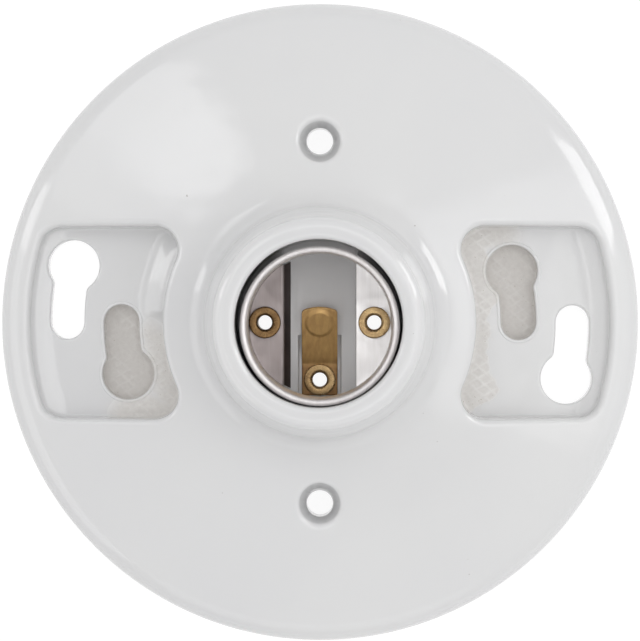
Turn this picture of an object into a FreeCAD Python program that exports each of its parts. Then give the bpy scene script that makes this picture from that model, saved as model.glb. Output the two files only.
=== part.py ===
import FreeCAD, Part
import math
import os

# Keyless porcelain lamp holder for a bulb with a medium screw cap (26 mm), made to be fixed over a
# round or octagonal ceiling box. A glazed porcelain disc carries a raised collar. A threaded metal
# shell and a sprung centre contact are riveted to the floor of the collar with hollow eyelets. Two
# pockets with keyholes and two plain holes take the fixing screws, and the wires go under two
# terminal screws in the recess of the back.
#
# The origin is the centre of the back face. +Z points out of the mouth of the socket. +X runs
# through the pockets and +Y through the plain holes. All sizes are in millimetres.

V = FreeCAD.Vector
UP = V(0, 0, 1)
ORIGIN = V(0, 0, 0)

# Threaded shell. It was riveted a little off the centre of the bore.
thread_major_d = 26.4
thread_depth = 0.85
shell_sheet = 0.3
shell_top_z = 39.6
shell_bead_r = 0.38
shell_slot_height = 1.8
shell_offset_x = 0.15
shell_offset_y = -0.44

# Collar round the socket. It follows from the shell that goes into it.
shell_room = 0.95
collar_wall = 3.6
collar_spread = 2.55
shell_sink = 4.4
bore_r = thread_major_d / 2 + shell_room
bore_lip_chamfer = 0.7
collar_top_r = bore_r + collar_wall
collar_top_round = 1.7
mouth_z = shell_top_z + shell_sink
collar_root_r = collar_top_r + collar_spread
collar_root_z = 16.6
collar_root_chamfer = 0.8

# Keyholes: an eye for the screw's head, and a curved slot that its shank turns into. The arcs have
# the spacings of ceiling boxes, 69.85 and 88.9 mm.
root_to_inner_arc = 14.625
inner_to_outer_arc = 9.525
inner_arc_r = collar_root_r + root_to_inner_arc
inner_eye_d = 9.15
inner_slot_width = 6.25
inner_turn_deg = 15.0
inner_depth = 3.0
outer_arc_r = inner_arc_r + inner_to_outer_arc
outer_eye_d = 9.0
outer_slot_width = 5.9
outer_turn_deg = 12.9
neck_round = 1.5

# Pockets to the left and right of the collar. Their walls stand clear of the keyholes' eyes.
eye_room_inside = 2.85
eye_room_outside = 1.75
eye_room_beside = 2.28
pocket_inner_r = inner_arc_r - inner_eye_d / 2 - eye_room_inside
pocket_outer_r = outer_arc_r + outer_eye_d / 2 + eye_room_outside
outer_eye_y = outer_arc_r * math.sin(math.radians(outer_turn_deg))
pocket_half = outer_eye_y + outer_eye_d / 2 + eye_room_beside
pocket_corner_r = 4.0
pocket_floor_z = 5.2
pocket_draft_deg = 8.0
pocket_floor_chamfer = 0.8
pocket_brim_chamfer = 0.6
pocket_wall = 3.5

# Porcelain disc and its sloping front
rim_width = 5.3
disc_r = pocket_outer_r + rim_width
rim_z = 8.2
rim_round = 4.4

# Floor of the socket
ledge_z = 15.0
socket_floor_thickness = 7.5
ledge_width = 6.8
channel_width = thread_major_d - 2 * ledge_width
channel_depth = 1.8
seat_width = 7.4
seat_depth = 1.0
seat_top_y = -2.2

# Plain screw holes above and below the collar
plain_spacing = 63.5
plain_hole_d = 4.6
plain_mouth_d = 7.4
plain_funnel_depth = 5.5
plain_mouth_chamfer = 0.5
boss_d = 13.0

# Recess of the back
rim_back_width = 5.5
dome_wall = 4.6
well_r = pocket_inner_r - pocket_wall

# Hollow eyelets
eyelet_from_wall = 3.7
contact_eyelet_from_wall = 3.2
eyelet_x = thread_major_d / 2 - eyelet_from_wall
contact_eyelet_y = contact_eyelet_from_wall - thread_major_d / 2
eyelet_hole_d = 2.5
eyelet_barrel_d = 3.2
eyelet_flange_d = 5.5
eyelet_flange_thickness = 0.5
eyelet_clearance = 0.2
rivet_washer_d = 7.0
rivet_washer_thickness = 0.6

# Centre contact, one bent strip of spring brass
strip_width = 6.2
strip_thickness = 0.5
strip_foot_end_y = contact_eyelet_y - 2.7
strip_bend_y = contact_eyelet_y + 2.9
strip_tip_y = 2.7
strip_rise_deg = 24.0
strip_bend_r = 1.0
strip_tip_sag = 0.7
strip_corner_r = 0.8
pad_d = 5.0
pad_height = 0.35

# Terminals: a plate, a screw with a slotted head and a captive washer under the head
plate_thickness = 0.8
plate_eyelet_end_r = 3.6
plate_screw_end_r = 4.9
hot_screw_x = -11.0
hot_screw_y = -14.0
neutral_screw_x = 11.0
neutral_screw_y = 14.0
lug_length = 3.0
lug_height = 1.6
lug_thickness = 0.8
screw_shank_d = 3.4
screw_length = 7.0
screw_head_d = 7.8
screw_head_height = 2.2
screw_slot_width = 1.1
screw_slot_depth = 1.1
washer_d = 8.0
washer_thickness = 0.8
running_gap = 0.05
screw_well_d = 5.2
screw_well_depth = 6.2

# Places that follow from the sizes above
underside_z = ledge_z - socket_floor_thickness
channel_z = ledge_z - channel_depth
seat_z = channel_z - seat_depth
recess_rim_r = disc_r - rim_back_width
plate_back_z = underside_z - plate_thickness
washer_back_z = plate_back_z - running_gap - washer_thickness
head_top_z = washer_back_z - running_gap
OVER = 5.0
ROUNDING_FLATS = 3


def polar(radius, degrees, z=0.0):
    angle = math.radians(degrees)
    return V(radius * math.cos(angle), radius * math.sin(angle), z)


def line(a, b):
    return Part.LineSegment(a, b).toShape()


def arc(a, middle, b):
    return Part.Arc(a, middle, b).toShape()


def turned_polygon(corners):
    """Solid made by turning a closed profile about the axis. Each corner is (radius, height),
    with the radius of its rounding as a third value where it has one. A rounding has flats."""
    points = []
    count = len(corners)
    for i, corner in enumerate(corners):
        at = V(corner[0], 0, corner[1])
        if len(corner) < 3:
            points.append(at)
            continue
        before = V(corners[i - 1][0], 0, corners[i - 1][1])
        after = V(corners[(i + 1) % count][0], 0, corners[(i + 1) % count][1])
        back = (before - at).normalize()
        on = (after - at).normalize()
        half_angle = back.getAngle(on) / 2
        run = corner[2] / math.tan(half_angle)
        centre = at + (back + on).normalize() * (corner[2] / math.sin(half_angle))
        first = at + back * run - centre
        last = at + on * run - centre
        sweep = math.pi - 2 * half_angle
        for step in range(ROUNDING_FLATS + 1):
            share = step / ROUNDING_FLATS
            spoke = first * math.sin((1 - share) * sweep) + last * math.sin(share * sweep)
            points.append(centre + spoke * (1 / math.sin(sweep)))
    return Part.Face(Part.makePolygon(points + points[:1])).revolve(ORIGIN, UP, 360)


def rod(diameter, x, y, low_z, high_z):
    return Part.makeCylinder(diameter / 2, high_z - low_z, V(x, y, low_z), UP)


def block(x0, x1, y0, y1, z0, z1):
    return Part.makeBox(x1 - x0, y1 - y0, z1 - z0, V(x0, y0, z0))


def half_turn(shape):
    copy = shape.copy()
    copy.rotate(ORIGIN, UP, 180)
    return copy


def moved(shape, x, y, z=0.0):
    copy = shape.copy()
    copy.translate(V(x, y, z))
    return copy


dome_slope = (collar_root_z - rim_z) / (disc_r - collar_root_r)


def dome_z(radius):
    """Height of the sloping front at a distance from the axis, before its edges are rounded."""
    return rim_z + (disc_r - radius) * dome_slope


def make_disc_and_collar():
    """The porcelain blank: disc, dome and collar in one turned form with rounded edges."""
    lip = bore_lip_chamfer
    root = collar_root_chamfer
    collar_lean = (collar_root_r - collar_top_r) / (mouth_z - collar_root_z)
    return turned_polygon([
        (0, 0),
        (disc_r, 0),
        (disc_r, rim_z, rim_round),
        (collar_root_r + root, dome_z(collar_root_r + root)),
        (collar_root_r - root * collar_lean, collar_root_z + root),
        (collar_top_r, mouth_z, collar_top_round),
        (bore_r + lip, mouth_z),
        (bore_r, mouth_z - lip),
        (bore_r, ledge_z),
        (0, ledge_z),
    ])


def pocket_space(low_z, high_z, draft_deg, grow=0.0):
    """Right-hand pocket: two cones about the axis cut off by two leaning planes, corners rounded."""
    lean = (high_z - low_z) * math.tan(math.radians(draft_deg))
    inner = pocket_inner_r - grow
    outer = pocket_outer_r + grow
    half = pocket_half + grow
    ring = turned_polygon([
        (inner, low_z), (outer, low_z), (outer + lean, high_z), (inner - lean, high_z),
    ])
    section = [
        V(0, -half, low_z), V(0, half, low_z), V(0, half + lean, high_z), V(0, -half - lean, high_z),
    ]
    wedge = Part.Face(Part.makePolygon(section + section[:1])).extrude(V(disc_r + lean, 0, 0))
    space = ring.common(wedge)
    corners = []
    for edge in space.Edges:
        box = edge.BoundBox
        if box.ZLength > (high_z - low_z) - 1e-3:
            corners.append(edge)
    return space.makeFillet(pocket_corner_r + grow, corners)


def make_pocket_cutter():
    """Space of one pocket: drafted walls that open upwards, and a rounded foot at the floor."""
    space = pocket_space(pocket_floor_z, collar_root_z + 1.0, pocket_draft_deg)
    floor_edges = [e for e in space.Edges if e.BoundBox.ZMax < pocket_floor_z + 1e-3]
    return space.makeChamfer(pocket_floor_chamfer, floor_edges)


def brim_edges(shape):
    """Edges where the pocket walls come out through the dome."""
    found = []
    for edge in shape.Edges:
        first, last = edge.ParameterRange
        points = [edge.valueAt(first + (last - first) * share) for share in (0.1, 0.5, 0.9)]
        radii = [math.hypot(p.x, p.y) for p in points]
        lies_on_dome = all(abs(dome_z(r) - p.z) < 1e-3 for r, p in zip(radii, points))
        in_reach = collar_root_r + collar_root_chamfer < min(radii) and max(radii) < disc_r - rim_round / 2
        if lies_on_dome and in_reach and abs(points[1].y) < pocket_half + pocket_wall:
            found.append(edge)
    return found


def keyhole(arc_r, eye_d, slot_width, turn_deg, low_z, high_z):
    """Keyhole cutter. The slot ends on +X, and the eye lies turn_deg round the arc from there."""
    height = high_z - low_z
    eye_at = polar(arc_r, turn_deg, low_z)
    eye = Part.makeCylinder(eye_d / 2, height, eye_at, UP)
    end = Part.makeCylinder(slot_width / 2, height, V(arc_r, 0, low_z), UP)
    ring = Part.makeCylinder(arc_r + slot_width / 2, height, V(0, 0, low_z), UP, abs(turn_deg))
    core = Part.makeCylinder(arc_r - slot_width / 2, height, V(0, 0, low_z), UP, 360)
    slot = ring.cut(core)
    if turn_deg < 0:
        slot.rotate(ORIGIN, UP, turn_deg)
    cutter = slot.fuse([end, eye]).removeSplitter()
    necks = []
    for edge in cutter.Edges:
        at = edge.CenterOfMass
        upright = edge.BoundBox.ZLength > height - 1e-3
        straight = edge.BoundBox.XLength < 1e-3 and edge.BoundBox.YLength < 1e-3
        from_eye = math.hypot(at.x - eye_at.x, at.y - eye_at.y)
        if upright and straight and abs(from_eye - eye_d / 2) < 1e-3:
            if math.hypot(at.x - arc_r, at.y) > slot_width / 2 + 1e-3:
                necks.append(edge)
    return cutter.makeFillet(neck_round, necks)


def make_plain_hole(y):
    """Cutter for a plain screw hole: a straight bore that opens in a funnel at the dome."""
    top = dome_z(plain_spacing / 2)
    bore = plain_hole_d / 2
    flare = (plain_mouth_d / 2 - bore) / plain_funnel_depth
    funnel_z = top - plain_funnel_depth
    funnel = turned_polygon([
        (0, -OVER),
        (bore, -OVER),
        (bore, funnel_z),
        (bore + flare * (mouth_z - funnel_z), mouth_z),
        (0, mouth_z),
    ])
    return moved(funnel, 0, y)


def mouth_edges(shape):
    """Edges where the plain screw holes come out through the dome."""
    found = []
    for edge in shape.Edges:
        start = edge.Vertexes[0].Point
        from_hole = math.hypot(start.x, abs(start.y) - plain_spacing / 2)
        if from_hole < plain_mouth_d and abs(dome_z(math.hypot(start.x, start.y)) - start.z) < 1e-4:
            found.append(edge)
    return found


def make_recess():
    """Hollow of the back: it follows the dome, round the pocket blocks and the screw bosses."""
    rim_under = dome_z(recess_rim_r) - dome_wall
    well_under = dome_z(well_r) - dome_wall
    hollow = turned_polygon([
        (0, -OVER),
        (recess_rim_r, -OVER),
        (recess_rim_r, rim_under),
        (well_r, max(well_under, underside_z)),
        (well_r, underside_z),
        (0, underside_z),
    ])
    around_pocket = pocket_space(-OVER, mouth_z, 0.0, pocket_wall)
    keep = [around_pocket, half_turn(around_pocket)]
    for y in (-plain_spacing / 2, plain_spacing / 2):
        keep.append(rod(boss_d, 0, y, -OVER, mouth_z))
    return hollow.cut(keep)


def make_porcelain_body():
    body = make_disc_and_collar()
    pocket = make_pocket_cutter()
    body = body.cut([pocket, half_turn(pocket)])
    body = body.makeChamfer(pocket_brim_chamfer, brim_edges(body))
    body = body.cut([make_plain_hole(-plain_spacing / 2), make_plain_hole(plain_spacing / 2)])
    body = body.makeChamfer(plain_mouth_chamfer, mouth_edges(body))
    body = body.cut(make_recess())

    through = keyhole(outer_arc_r, outer_eye_d, outer_slot_width, -outer_turn_deg,
                      -OVER, pocket_floor_z + OVER)
    blind = keyhole(inner_arc_r, inner_eye_d, inner_slot_width, inner_turn_deg,
                    pocket_floor_z - inner_depth, pocket_floor_z + OVER)
    body = body.cut([through, half_turn(through), blind, half_turn(blind)])

    reach = bore_r + 1.0
    inside_bore = rod(2 * bore_r, 0, 0, underside_z, ledge_z + OVER)
    channel = block(-channel_width / 2, channel_width / 2, -reach, reach, channel_z, ledge_z + OVER)
    seat = block(-seat_width / 2, seat_width / 2, -reach, seat_top_y, seat_z, ledge_z)
    cutters = [channel.common(inside_bore), seat.common(inside_bore)]
    hole_d = eyelet_barrel_d + 2 * eyelet_clearance
    for x, y in eyelet_places():
        cutters.append(rod(hole_d, x, y, 0, ledge_z + OVER))
    for x, y in ((hot_screw_x, hot_screw_y), (neutral_screw_x, neutral_screw_y)):
        cutters.append(rod(screw_well_d, x, y, 0, underside_z + screw_well_depth))
    return body.cut(cutters)


def eyelet_places():
    """Left and right eyelet of the shell, then the eyelet of the contact."""
    return [(-eyelet_x, 0), (eyelet_x, 0), (0, contact_eyelet_y)]


def make_eyelet(place, low_z, high_z):
    """Hollow rivet that grips everything from low_z to high_z between its two rolled flanges."""
    hole = eyelet_hole_d / 2
    barrel = eyelet_barrel_d / 2
    flange = eyelet_flange_d / 2
    curl = eyelet_flange_thickness
    eyelet = turned_polygon([
        (hole, low_z - curl),
        (hole, high_z + curl),
        (flange - curl, high_z + curl),
        (flange, high_z),
        (barrel, high_z),
        (barrel, low_z),
        (flange, low_z),
        (flange - curl, low_z - curl),
    ])
    return moved(eyelet, place[0], place[1])


def make_rivet_washer(place):
    washer = rod(rivet_washer_d, 0, 0, underside_z - rivet_washer_thickness, underside_z)
    hole = rod(eyelet_barrel_d + 2 * running_gap, 0, 0, 0, ledge_z)
    return moved(washer.cut(hole), place[0], place[1])


# The shell's wall is drawn at the mean diameter of its thread
shell_inside_r = (thread_major_d - thread_depth) / 2
shell_outside_r = shell_inside_r + shell_sheet
shell_floor_top_z = ledge_z + shell_sheet


def make_screw_shell():
    """Pressed cup with a rolled lip. Its floor is slotted for the contact and riveted down."""
    bead = shell_bead_r
    shell = turned_polygon([
        (0, ledge_z),
        (shell_outside_r - shell_sheet, ledge_z),
        (shell_outside_r, ledge_z + shell_sheet),
        (shell_outside_r, shell_top_z - 2 * bead),
        (shell_inside_r + 1.5 * bead, shell_top_z - 2 * bead),
        (shell_inside_r + 2 * bead, shell_top_z - bead),
        (shell_inside_r + 1.5 * bead, shell_top_z),
        (shell_inside_r + 0.5 * bead, shell_top_z),
        (shell_inside_r, shell_top_z - bead),
        (shell_inside_r, shell_floor_top_z),
        (0, shell_floor_top_z),
    ])
    shell = moved(shell, shell_offset_x, shell_offset_y)
    slot_half = channel_width / 2
    reach = shell_outside_r + 1.0
    slot = block(-slot_half, slot_half, -reach, reach, 0, ledge_z + shell_slot_height)
    hole_d = eyelet_barrel_d + 2 * running_gap
    holes = [rod(hole_d, x, y, 0, ledge_z + OVER) for x, y in eyelet_places()[:2]]
    return shell.cut([slot] + holes)


def make_centre_contact():
    """Spring strip: a riveted foot, a leaf that rises to the axis and a round contact pad."""
    slope = math.tan(math.radians(strip_rise_deg))
    lean = strip_thickness * math.tan(math.radians(strip_rise_deg / 2))
    low_z = seat_z
    top_z = seat_z + strip_thickness
    tip_rise = (strip_tip_y - strip_bend_y) * slope
    end_y = strip_tip_y + 1.0
    end_rise = tip_rise + slope
    thick_z = strip_thickness / math.cos(math.radians(strip_rise_deg))
    half = strip_width / 2
    side = [
        V(-half, strip_foot_end_y, low_z),
        V(-half, strip_bend_y + lean, low_z),
        V(-half, end_y, low_z + end_rise - lean * slope),
        V(-half, end_y, low_z + end_rise - lean * slope + thick_z),
        V(-half, strip_bend_y, top_z),
        V(-half, strip_foot_end_y, top_z),
    ]
    strip = Part.Face(Part.makePolygon(side + side[:1])).extrude(V(strip_width, 0, 0))
    for at_z, at_y, radius in (
        (low_z, strip_bend_y + lean, strip_bend_r + strip_thickness),
        (top_z, strip_bend_y, strip_bend_r),
    ):
        bends = []
        for edge in strip.Edges:
            centre = edge.CenterOfMass
            along_x = edge.BoundBox.XLength > strip_width - 1e-3
            if along_x and abs(centre.z - at_z) < 1e-4 and abs(centre.y - at_y) < 1e-4:
                bends.append(edge)
        strip = strip.makeFillet(radius, bends)

    # The plan outline rounds off the free end
    shoulder_y = strip_tip_y - strip_tip_sag
    plan = Part.Face(Part.Wire([
        line(V(-half, strip_foot_end_y - 1, 0), V(half, strip_foot_end_y - 1, 0)),
        line(V(half, strip_foot_end_y - 1, 0), V(half, shoulder_y, 0)),
        arc(V(half, shoulder_y, 0), V(0, strip_tip_y, 0), V(-half, shoulder_y, 0)),
        line(V(-half, shoulder_y, 0), V(-half, strip_foot_end_y - 1, 0)),
    ])).extrude(V(0, 0, mouth_z))
    corners = []
    for edge in plan.Edges:
        if edge.BoundBox.ZLength > 1 and abs(edge.CenterOfMass.y - shoulder_y) < 1e-4:
            corners.append(edge)
    plan = plan.makeFillet(strip_corner_r, corners)
    strip = strip.common(plan)

    pad = Part.makeCylinder(pad_d / 2, strip_thickness / 2 + pad_height, ORIGIN, UP)
    pad_rim = [e for e in pad.Edges if e.BoundBox.ZMin > strip_thickness / 2]
    pad = pad.makeChamfer(pad_height * 0.6, pad_rim)
    pad.rotate(ORIGIN, V(1, 0, 0), strip_rise_deg)
    pad_z = top_z - strip_bend_y * slope - thick_z / 2
    pad.translate(V(0, 0, pad_z))
    strip = strip.fuse(pad)
    hole = rod(eyelet_barrel_d + 2 * running_gap, 0, contact_eyelet_y, 0, ledge_z)
    return strip.cut(hole).removeSplitter()


def make_terminal_plate(eyelet_at, screw_at):
    """Flat plate under a terminal screw, with two lugs that keep the wire under the head."""
    ex, ey = eyelet_at
    sx, sy = screw_at
    length = math.hypot(sx - ex, sy - ey)
    plate = Part.makeCylinder(plate_eyelet_end_r, plate_thickness, ORIGIN, UP)
    half = plate_eyelet_end_r
    wide = plate_screw_end_r + lug_thickness / 2
    strap = block(0, length, -half, half, 0, plate_thickness)
    seat = Part.makeCylinder(plate_screw_end_r, plate_thickness, V(length, 0, 0), UP)
    ears = block(length - lug_length / 2, length + lug_length / 2, -wide, wide, 0, plate_thickness)
    pieces = [strap, seat, ears]
    for side in (-1, 1):
        inner = side * (wide - lug_thickness)
        outer = side * wide
        pieces.append(block(length - lug_length / 2, length + lug_length / 2,
                            min(inner, outer), max(inner, outer), -lug_height, plate_thickness))
    plate = plate.fuse(pieces).removeSplitter()
    holes = [
        Part.makeCylinder(eyelet_barrel_d / 2 + running_gap, OVER, V(0, 0, -1), UP),
        Part.makeCylinder(screw_shank_d / 2 + running_gap, OVER, V(length, 0, -1), UP),
    ]
    plate = plate.cut(holes)
    plate.rotate(ORIGIN, UP, math.degrees(math.atan2(sy - ey, sx - ex)))
    plate.translate(V(ex, ey, plate_back_z))
    return plate


def make_terminal_screw(at):
    """Terminal screw whose slotted head faces the back. Its fine thread is left plain."""
    head_low_z = head_top_z - screw_head_height
    head = rod(screw_head_d, 0, 0, head_low_z, head_top_z)
    rim = [e for e in head.Edges if e.BoundBox.ZMax < head_low_z + 1e-3]
    head = head.makeChamfer(screw_head_height * 0.3, rim)
    shank = rod(screw_shank_d, 0, 0, head_top_z, head_top_z + screw_length)
    tip = [e for e in shank.Edges if e.BoundBox.ZMin > head_top_z + screw_length - 1e-3]
    shank = shank.makeChamfer(screw_shank_d * 0.15, tip)
    reach = screw_head_d
    half = screw_slot_width / 2
    slot = block(-reach, reach, -half, half, head_low_z - 1, head_low_z + screw_slot_depth)
    slot.rotate(ORIGIN, UP, 35)
    return moved(head.fuse(shank).cut(slot), at[0], at[1])


def make_clamp_washer(at):
    washer = rod(washer_d, 0, 0, washer_back_z, washer_back_z + washer_thickness)
    hole = rod(screw_shank_d + 2 * running_gap, 0, 0, 0, ledge_z)
    return moved(washer.cut(hole), at[0], at[1])


def build_parts():
    left, right, contact = eyelet_places()
    hot_screw = (hot_screw_x, hot_screw_y)
    neutral_screw = (neutral_screw_x, neutral_screw_y)
    return {
        "porcelain_body": make_porcelain_body(),
        "screw_shell": make_screw_shell(),
        "centre_contact": make_centre_contact(),
        "shell_eyelet_left": make_eyelet(left, underside_z - rivet_washer_thickness,
                                         shell_floor_top_z),
        "shell_eyelet_right": make_eyelet(right, plate_back_z, shell_floor_top_z),
        "contact_eyelet": make_eyelet(contact, plate_back_z, seat_z + strip_thickness),
        "eyelet_washer": make_rivet_washer(left),
        "hot_terminal_plate": make_terminal_plate(contact, hot_screw),
        "neutral_terminal_plate": make_terminal_plate(right, neutral_screw),
        "hot_terminal_screw": make_terminal_screw(hot_screw),
        "neutral_terminal_screw": make_terminal_screw(neutral_screw),
        "hot_clamp_washer": make_clamp_washer(hot_screw),
        "neutral_clamp_washer": make_clamp_washer(neutral_screw),
    }


os.makedirs("parts", exist_ok=True)
for name, shape in build_parts().items():
    solids = shape.Solids
    if len(solids) == 1:
        shape = solids[0]
    print(name, "solids", len(solids), "valid", shape.isValid(), "volume", round(shape.Volume, 1))
    shape.exportStep(os.path.join("parts", name + ".step"))
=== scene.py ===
# %% [markdown]
# # A porcelain lamp holder
# The real object is a glazed porcelain disc, 112 mm across, with a collar round a screw socket.
# This lesson dresses its construction model: it rebuilds the porcelain with soft glazed edges,
# winds the thread into the metal shell, bends the brass contact and gives every piece its finish.
# The construction model comes first, because each piece has to sit where that model says.

import math

import bmesh
import bpy
import numpy as np
from mathutils import Matrix, Vector
from mathutils.geometry import delaunay_2d_cdt


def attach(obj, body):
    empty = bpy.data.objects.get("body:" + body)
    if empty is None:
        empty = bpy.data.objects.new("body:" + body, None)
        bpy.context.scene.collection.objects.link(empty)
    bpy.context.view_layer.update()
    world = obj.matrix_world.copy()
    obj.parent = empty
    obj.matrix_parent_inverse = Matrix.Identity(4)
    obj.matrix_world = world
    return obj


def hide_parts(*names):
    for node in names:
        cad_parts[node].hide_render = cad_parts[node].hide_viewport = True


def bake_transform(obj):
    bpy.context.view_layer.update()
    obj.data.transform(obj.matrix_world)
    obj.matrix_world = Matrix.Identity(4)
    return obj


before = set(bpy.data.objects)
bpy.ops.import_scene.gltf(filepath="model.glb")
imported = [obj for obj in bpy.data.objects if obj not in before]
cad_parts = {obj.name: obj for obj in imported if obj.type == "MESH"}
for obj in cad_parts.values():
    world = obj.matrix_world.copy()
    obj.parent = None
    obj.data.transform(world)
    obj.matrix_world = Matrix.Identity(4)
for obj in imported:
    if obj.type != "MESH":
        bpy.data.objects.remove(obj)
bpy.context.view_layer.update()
MM = 0.001

# %% [markdown]
# ## Sizes
# All sizes are in millimetres, and the origin is the centre of the back face. They repeat the
# sizes of the construction model, so that the dressed pieces stay in the same places.

# %% Sizes of the porcelain
disc_r, rim_z, rim_round, foot_round = 56.0, 8.2, 4.4, 0.8
root_r, root_z, root_round = 20.3, 16.6, 4.0
collar_r, collar_round, mouth_z = 17.75, 1.7, 44.0
bore_r, bore_round, ledge_z = 14.15, 0.9, 15.0
dome_bulge = 0.35
pocket_in, pocket_out, pocket_half, pocket_corner = 27.5, 50.7, 16.7, 4.0
pocket_z, sunk_z = 5.2, 2.2
hole_y, hole_r, hole_mouth_r, hole_depth = 31.75, 2.3, 3.7, 5.5
underside_z = 7.5
turns = 240

# %% [markdown]
# ## Camera
# The photo looks straight down into the socket from far away. The camera stands 0.8 m up, a little
# to the right of the axis and above it, so that the bore shows a sliver more of its lower left wall.

# %% Camera
camera = bpy.data.objects.new("camera", bpy.data.cameras.new("camera"))
camera.data.sensor_width = 36.0
camera.data.lens = 253.6
camera.data.clip_start, camera.data.clip_end = 0.05, 10.0
camera.location = (4.8 * MM, 5.0 * MM, 800 * MM)
back = (camera.location - Vector((0, 0.28 * MM, 4 * MM))).normalized()
right = Vector((0, 1, 0)).cross(back).normalized()
camera.rotation_mode = "QUATERNION"
camera.rotation_quaternion = Matrix((right, back.cross(right), back)).transposed().to_quaternion()
bpy.context.collection.objects.link(camera)
bpy.context.scene.camera = camera
bpy.context.scene.view_settings.view_transform = "Standard"

# %% [markdown]
# ## Helpers for profiles and outlines
# A profile is a bent line that is turned or swept, with an arc at each corner, because a glaze
# never leaves a sharp edge. An outline is a closed line in plan, stored as points with their
# outward directions, so that a wall can stand on it.


# %% Profile with rounded corners
def rounded(corners, radii, steps=6):
    """Points along a bent line whose inner corners are arcs of the given radii."""
    points = [Vector(corners[0])]
    for before, at, after, radius in zip(corners, corners[1:], corners[2:], radii):
        at = Vector(at)
        back = (Vector(before) - at).normalized()
        on = (Vector(after) - at).normalized()
        half = back.angle(on) / 2
        run = radius / math.tan(half)
        centre = at + (back + on).normalized() * (radius / math.sin(half))
        start, end = at + back * run - centre, at + on * run - centre
        sweep = math.pi - 2 * half
        for k in range(steps + 1):
            t = k / steps
            spoke = (start * math.sin((1 - t) * sweep) + end * math.sin(t * sweep)) / math.sin(sweep)
            points.append(centre + spoke)
    points.append(Vector(corners[-1]))
    return points


# %% Outline from arcs and lines
def arc_run(centre, radius, start, end, side, step):
    """Samples of an arc, angles in degrees. side is 1 if the wall is outside it, -1 if inside."""
    count = max(3, round(abs(math.radians(end - start)) * radius / step))
    samples = []
    for k in range(count):
        angle = math.radians(start + (end - start) * k / count)
        nx, ny = math.cos(angle), math.sin(angle)
        samples.append((centre[0] + radius * nx, centre[1] + radius * ny, side * nx, side * ny))
    return samples


def line_run(start, end, normal, step):
    count = max(1, round(math.dist(start, end) / step))
    return [
        (start[0] + (end[0] - start[0]) * k / count, start[1] + (end[1] - start[1]) * k / count,
         normal[0], normal[1])
        for k in range(count)
    ]


def turned_about(outline, half_turn, flip=False):
    """The outline after a half turn about the axis, or mirrored to the other side of the X axis."""
    sx = -1 if half_turn else 1
    sy = sx * (-1 if flip else 1)
    return [(sx * x, sy * y, sx * nx, sy * ny) for x, y, nx, ny in outline]


def off(sample, reach):
    """Place that lies a reach outwards from a sample of an outline."""
    x, y, nx, ny = sample
    return x + nx * reach, y + ny * reach


def bearing(centre, point):
    return math.degrees(math.atan2(point[1] - centre[1], point[0] - centre[0]))


def circle(centre, radius, count, shift=0):
    angles = [2 * math.pi * (k + shift) / count for k in range(count)]
    return [(centre[0] + radius * math.cos(a), centre[1] + radius * math.sin(a)) for a in angles]


# %% [markdown]
# ## A skin of bands and patches
# Blender's modifiers round a boolean's edges poorly, so the porcelain is knitted by hand. A band
# joins two loops of points with four-sided faces. A patch fills the space between loops with
# triangles over evenly spread seeds, and a height rule lifts them on to the dome or the floor.


# %% Skin builder
class Skin:
    """Points and faces in millimetres that become one closed mesh."""

    def __init__(self):
        self.points = []
        self.faces = []

    def add(self, points):
        first = len(self.points)
        self.points.extend(tuple(p) for p in points)
        return list(range(first, len(self.points)))

    def band(self, low, high):
        for i in range(len(low)):
            j = (i + 1) % len(low)
            self.faces.append((low[i], low[j], high[j], high[i]))

    def stack(self, rings):
        for low, high in zip(rings, rings[1:]):
            self.band(low, high)

    def turned(self, profile):
        """Rings of a profile of (radius, height) turned about the axis."""
        rings = [self.add([(x, y, z) for x, y in circle((0, 0), r, turns)]) for r, z in profile]
        self.stack(rings)
        return rings

    def walls(self, outline, profile_at, lift=None):
        """Rings of a wall on an outline. profile_at gives one sample's (offset, height) points."""
        columns = []
        for sample in outline:
            column = [(*off(sample, w), z) for w, z in profile_at(sample)]
            if lift:
                px, py, _ = column[-1]
                column[-1] = (px, py, lift(px, py))
            columns.append(self.add(column))
        rings = [list(ring) for ring in zip(*columns)]
        self.stack(rings)
        return rings

    def patch(self, outer, holes, seeds, lift, clearance):
        """Triangles between an outer loop and holes, over seeds that lift raises to height."""
        loops = [outer] + holes
        coords, edges, index = [], [], []
        for loop in loops:
            first = len(coords)
            coords.extend(self.points[i][:2] for i in loop)
            index.extend(loop)
            edges.extend((first + k, first + (k + 1) % len(loop)) for k in range(len(loop)))
        rims = [np.array([self.points[i][:2] for i in loop]) for loop in loops]
        seeds = np.array(seeds, float).reshape(-1, 2)
        if len(seeds):
            seeds = seeds[between(rims, seeds)]
            border = np.concatenate(rims)
            near = np.array([((border - s) ** 2).sum(1).min() for s in seeds])
            seeds = seeds[near > clearance ** 2]
            coords.extend(map(tuple, seeds))
            index.extend(self.add([(x, y, lift(x, y)) for x, y in seeds]))
        vectors = [Vector(c) for c in coords]
        _, _, faces, origin, _, _ = delaunay_2d_cdt(vectors, edges, [], 0, 1e-7)
        source = [index[o[0]] for o in origin]
        flat = np.array([self.points[i][:2] for i in source])
        faces = np.array(faces)
        keep = between(rims, flat[faces].mean(1))
        self.faces.extend(tuple(source[i] for i in f) for f in faces[keep])


def inside(loop, points):
    """Which points lie inside a closed loop, by counting crossings."""
    x, y = points[:, 0], points[:, 1]
    found = np.zeros(len(points), bool)
    for (x0, y0), (x1, y1) in zip(loop, np.roll(loop, -1, axis=0)):
        if y0 == y1:
            continue
        crosses = (y0 > y) != (y1 > y)
        found ^= crosses & (x < x0 + (y - y0) * (x1 - x0) / (y1 - y0))
    return found


def between(rims, points):
    """Which points lie inside the first loop and outside the others."""
    found = inside(rims[0], points)
    for rim in rims[1:]:
        found &= ~inside(rim, points)
    return found


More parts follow.
